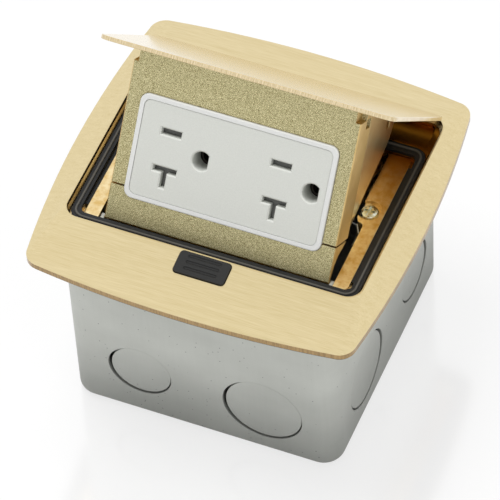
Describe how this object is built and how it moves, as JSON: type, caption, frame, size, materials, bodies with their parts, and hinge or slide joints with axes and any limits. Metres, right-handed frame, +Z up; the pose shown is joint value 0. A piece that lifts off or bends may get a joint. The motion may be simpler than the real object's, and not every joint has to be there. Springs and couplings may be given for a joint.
{
  "type": "floor socket box",
  "caption": "Pop-up floor socket box: brushed brass plate, hinged lid carrying a twin outlet, push latch, galvanised box with knockouts.",
  "frame": {"origin": "centre of the bounding box at the underside of the floor box", "axes": "+Z up out of the floor, -Y the front with the latch button, +X to the right seen from the front; the hinge lies along X at the back"},
  "size_m": [0.1246, 0.1212, 0.1305],
  "materials": {
    "galvanised_steel": "dull zinc, faint spangle",
    "brushed_brass": "satin, brushed left to right, clear lacquer",
    "cast_brass": "as cast, lacquered",
    "textured_brass": "fine granular texture, semi-matte",
    "black_rubber": "smooth",
    "black_plastic": "satin moulded",
    "zinc_screws": "bright zinc",
    "spring_steel": "drawn wire",
    "green_screws": "green dyed zinc",
    "white_plastic": "satin moulded, cool white",
    "light_grey_plastic": "satin moulded",
    "dark_grey_plastic": "moulded",
    "grey_plastic": "moulded",
    "contact_brass": "stamped strip",
    "silver_screws": "nickel plated"
  },
  "bodies": {
    "floor_box": {"floor_box": "galvanised_steel", "knockouts_half_inch": "galvanised_steel", "knockouts_three_quarter": "galvanised_steel", "box_ears": "galvanised_steel", "ground_screw": "green_screws", "cover_plate": "brushed_brass", "plate_screws": "zinc_screws", "plate_gasket": "black_rubber", "well_frame": "cast_brass", "frame_screws": "zinc_screws", "lid_gasket": "black_rubber", "latch_cover": "galvanised_steel", "latch_cover_screws": "zinc_screws", "latch_springs": "spring_steel", "hinge_pin": "spring_steel", "hinge_clips": "zinc_screws", "torsion_springs": "spring_steel"},
    "latch_button": {"latch_button": "black_plastic"},
    "latch_yoke": {"latch_yoke": "galvanised_steel"},
    "module": {"lid_plate": "brushed_brass", "lid_screws": "zinc_screws", "face_frame": "textured_brass", "chin_plate": "textured_brass", "chin_screws": "zinc_screws", "module_housing": "cast_brass", "rear_cover": "galvanised_steel", "outlet_bezel": "white_plastic", "outlet_face": "light_grey_plastic", "outlet_body": "dark_grey_plastic", "outlet_strap": "galvanised_steel", "strap_screws": "zinc_screws", "hot_contacts": "contact_brass", "neutral_contacts": "contact_brass", "ground_contacts": "contact_brass", "terminal_screws_brass": "contact_brass", "terminal_screws_silver": "silver_screws", "terminal_screw_green": "green_screws", "shutter_springs": "spring_steel"},
    "left_shutter": {"left_shutter": "grey_plastic"},
    "right_shutter": {"right_shutter": "grey_plastic"}
  },
  "joints": [
    {"name": "module_hinge", "type": "hinge", "parent": "floor_box", "child": "module", "pos_m": [0, 0.04035, 0.0641], "axis": [1, 0, 0], "range_deg": [0, 47.6], "stiffness_Nm_per_rad": 0.2, "springref_deg": -68.75, "deforming": ["torsion_springs"]},
    {"name": "latch_press", "type": "slide", "parent": "floor_box", "child": "latch_button", "axis": [0, 0, -1], "range_m": [0, 0.002], "stiffness_N_per_m": 400, "springref_m": -0.002},
    {"name": "yoke_slide", "type": "slide", "parent": "floor_box", "child": "latch_yoke", "axis": [0, -1, 0], "range_m": [0, 0.002], "deforming": ["latch_springs"]},
    {"name": "left_shutter_slide", "type": "slide", "parent": "module", "child": "left_shutter", "axis": [0, -0.5711, -0.8209], "range_m": [0, 0.0032], "stiffness_N_per_m": 150, "springref_m": -0.002, "deforming": ["shutter_springs"]},
    {"name": "right_shutter_slide", "type": "slide", "parent": "module", "child": "right_shutter", "axis": [0, -0.5711, -0.8209], "range_m": [0, 0.0032], "stiffness_N_per_m": 150, "springref_m": -0.002}
  ],
  "couplings": [
    {"joint": "yoke_slide", "follows": "latch_press", "ratio": 1}
  ]
}
